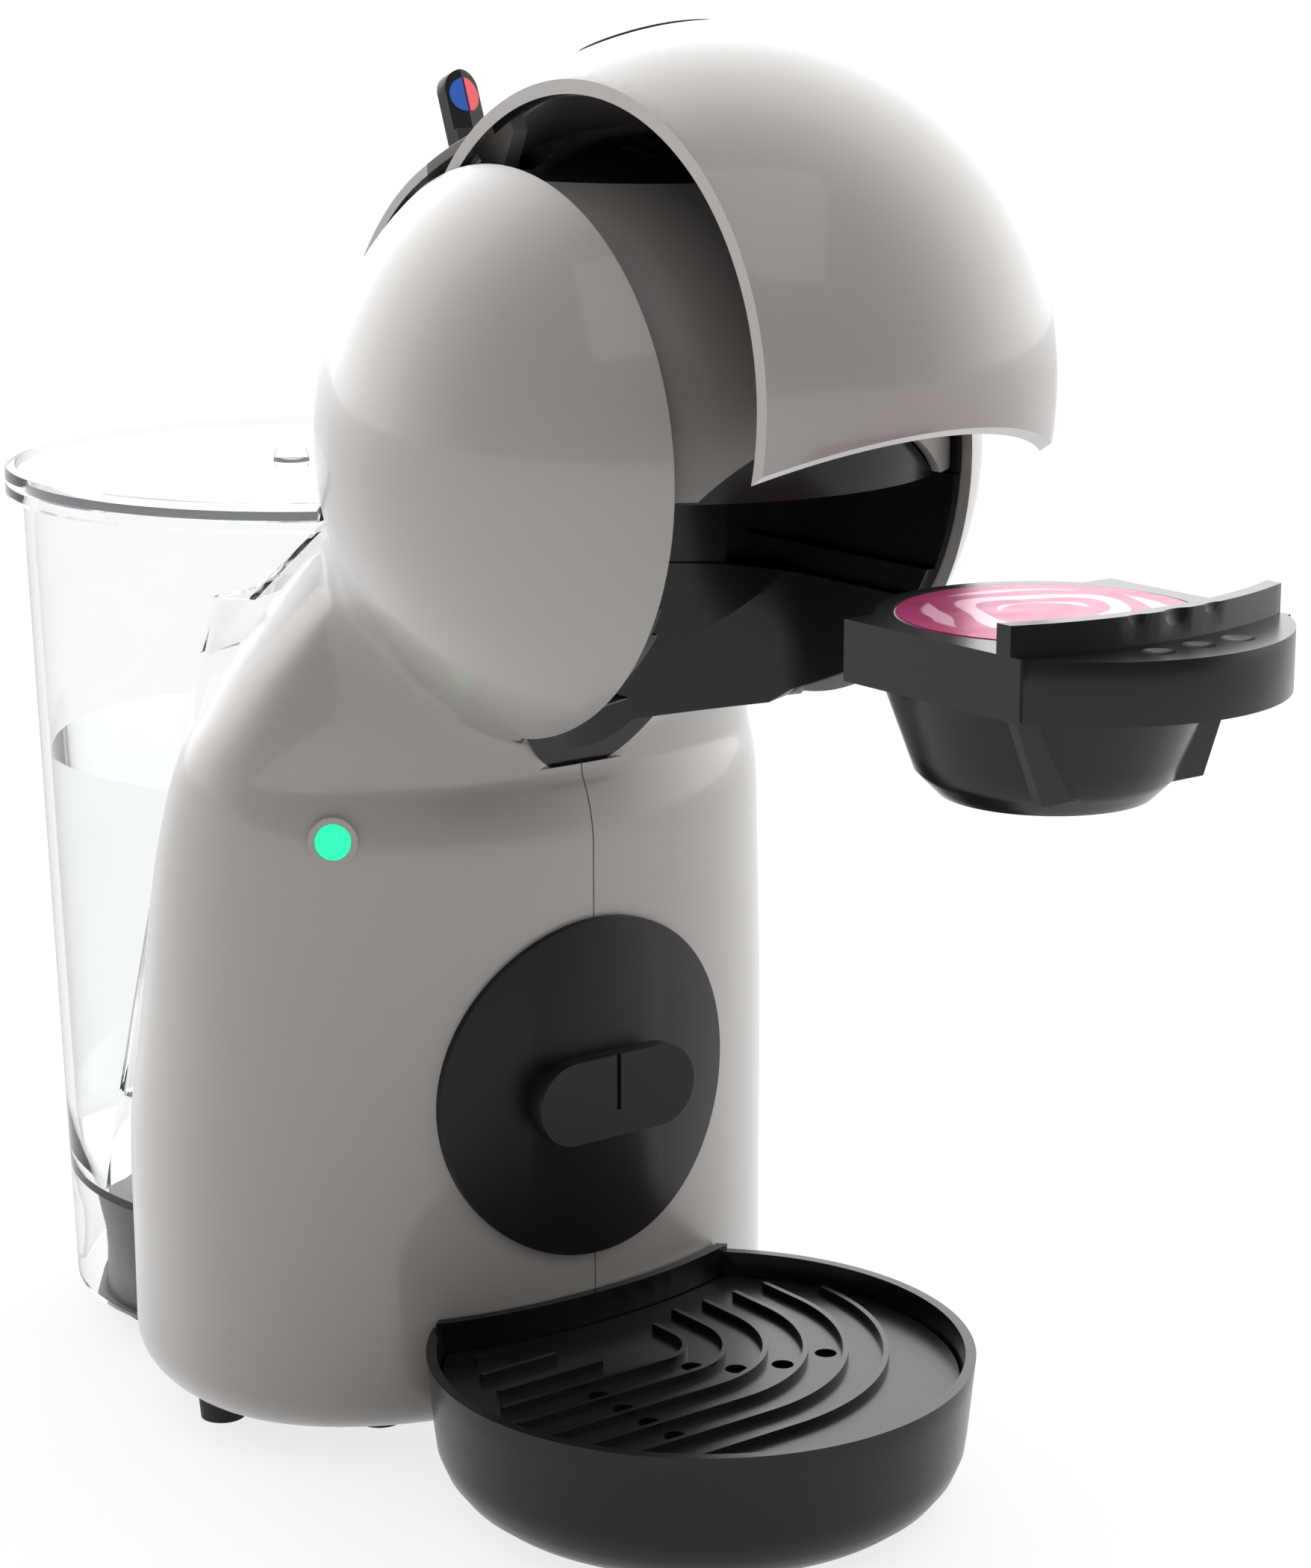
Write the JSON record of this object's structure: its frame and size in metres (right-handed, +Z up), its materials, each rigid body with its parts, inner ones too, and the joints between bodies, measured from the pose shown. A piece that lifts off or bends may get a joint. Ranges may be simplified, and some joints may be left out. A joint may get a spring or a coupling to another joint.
{
  "type": "pod coffee machine",
  "caption": "Free-standing pod coffee machine with lifting hood, pull-out pod holder, drip tray, front disc and lift-off water tank.",
  "frame": {"origin": "centre of the footprint of the bounding box, on the table", "axes": "-Y is the front with the tray and pod holder, +Y the tank, +Z up, X = 0 the plane of symmetry"},
  "size_m": [0.141, 0.3364, 0.2853],
  "materials": {
    "shell_gloss": "glossy warm grey moulded plastic",
    "gloss_black": "glossy black moulded plastic",
    "matte_black": "matte black moulded plastic",
    "panel_grey": "satin grey panel",
    "dark_grey": "dark grey moulded plastic",
    "clear_tank": "clear moulded water tank",
    "steel": "plain steel",
    "aluminium": "cast aluminium",
    "rubber": "soft black rubber",
    "hose_clear": "pale silicone hose",
    "pod_white": "pale thin plastic",
    "foil_pink": "printed metal foil",
    "mark_blue": "printed blue",
    "mark_red": "printed red",
    "button_green": "lit green button",
    "brass": "plain brass",
    "board_green": "circuit board",
    "ceramic": "pale ceramic"
  },
  "bodies": {
    "machine": {"left_shell": "shell_gloss", "right_shell": "shell_gloss", "base_plate": "matte_black", "feet": "rubber", "base_screws": "steel", "tank_seat": "dark_grey", "tank_valve": "matte_black", "front_disc": "matte_black", "alcove_liner": "gloss_black", "left_inner_wall": "gloss_black", "right_inner_wall": "gloss_black", "front_panel": "panel_grey", "top_deck": "gloss_black", "jaw": "gloss_black", "frame": "matte_black", "rear_cover": "shell_gloss", "selector_valve": "brass", "pump": "steel", "pump_mounts": "rubber", "heater": "aluminium", "heater_bracket": "steel", "heater_fuse": "ceramic", "cold_hose": "hose_clear", "tank_hose": "hose_clear", "hot_hose": "hose_clear", "control_board": "board_green", "power_switch": "matte_black", "button_ring": "matte_black", "cord_inlet": "rubber"},
    "hood": {"hood_shell": "shell_gloss", "hood_liner": "gloss_black", "hood_badge": "shell_gloss", "hinge_pin": "steel"},
    "injector": {"injector": "gloss_black", "injector_needle": "steel", "injector_seal": "rubber"},
    "holder": {"holder": "gloss_black"},
    "pod": {"pod_cup": "pod_white", "pod_foil": "foil_pink"},
    "tray": {"drip_tray": "gloss_black"},
    "grid": {"drip_grid": "gloss_black"},
    "tank": {"tank": "clear_tank"},
    "tank_lid": {"tank_lid": "clear_tank"},
    "lever": {"lever": "matte_black", "lever_mark_cold": "mark_blue", "lever_mark_hot": "mark_red", "lever_shaft": "steel"},
    "button": {"power_button": "button_green"}
  },
  "joints": [
    {"name": "hood_hinge", "type": "hinge", "parent": "machine", "child": "hood", "pos_m": [0, 0, 0.25465], "axis": [1, 0, 0], "range_deg": [0, 31.4]},
    {"name": "injector_press", "type": "slide", "parent": "machine", "child": "injector", "axis": [0, 0, -1], "range_m": [0, 0.01]},
    {"name": "holder_slide", "type": "slide", "parent": "machine", "child": "holder", "axis": [0, 1, 0], "range_m": [0, 0.1]},
    {"name": "pod_lift", "type": "slide", "parent": "holder", "child": "pod", "axis": [0, 0, -1], "range_m": [-0.019, 0]},
    {"name": "tray_slide", "type": "slide", "parent": "machine", "child": "tray", "axis": [0, -1, 0], "range_m": [0, 0.08]},
    {"name": "grid_lift", "type": "slide", "parent": "tray", "child": "grid", "axis": [0, 0, 1], "range_m": [0, 0.03]},
    {"name": "tank_lift", "type": "slide", "parent": "machine", "child": "tank", "axis": [0, 0, 1], "range_m": [0, 0.12]},
    {"name": "lid_lift", "type": "slide", "parent": "tank", "child": "tank_lid", "axis": [0, 0, 1], "range_m": [0, 0.04]},
    {"name": "lever_turn", "type": "hinge", "parent": "machine", "child": "lever", "pos_m": [0, 0.0274, 0.22062], "axis": [0, 0.9354, -0.3535], "range_deg": [-15, 15]},
    {"name": "button_press", "type": "slide", "parent": "machine", "child": "button", "axis": [0.6198, 0.7848, 0], "range_m": [0, 0.001], "stiffness_N_per_m": 400}
  ],
  "couplings": [
    {"joint": "injector_press", "follows": "hood_hinge", "m_per_rad": 0.018065}
  ]
}
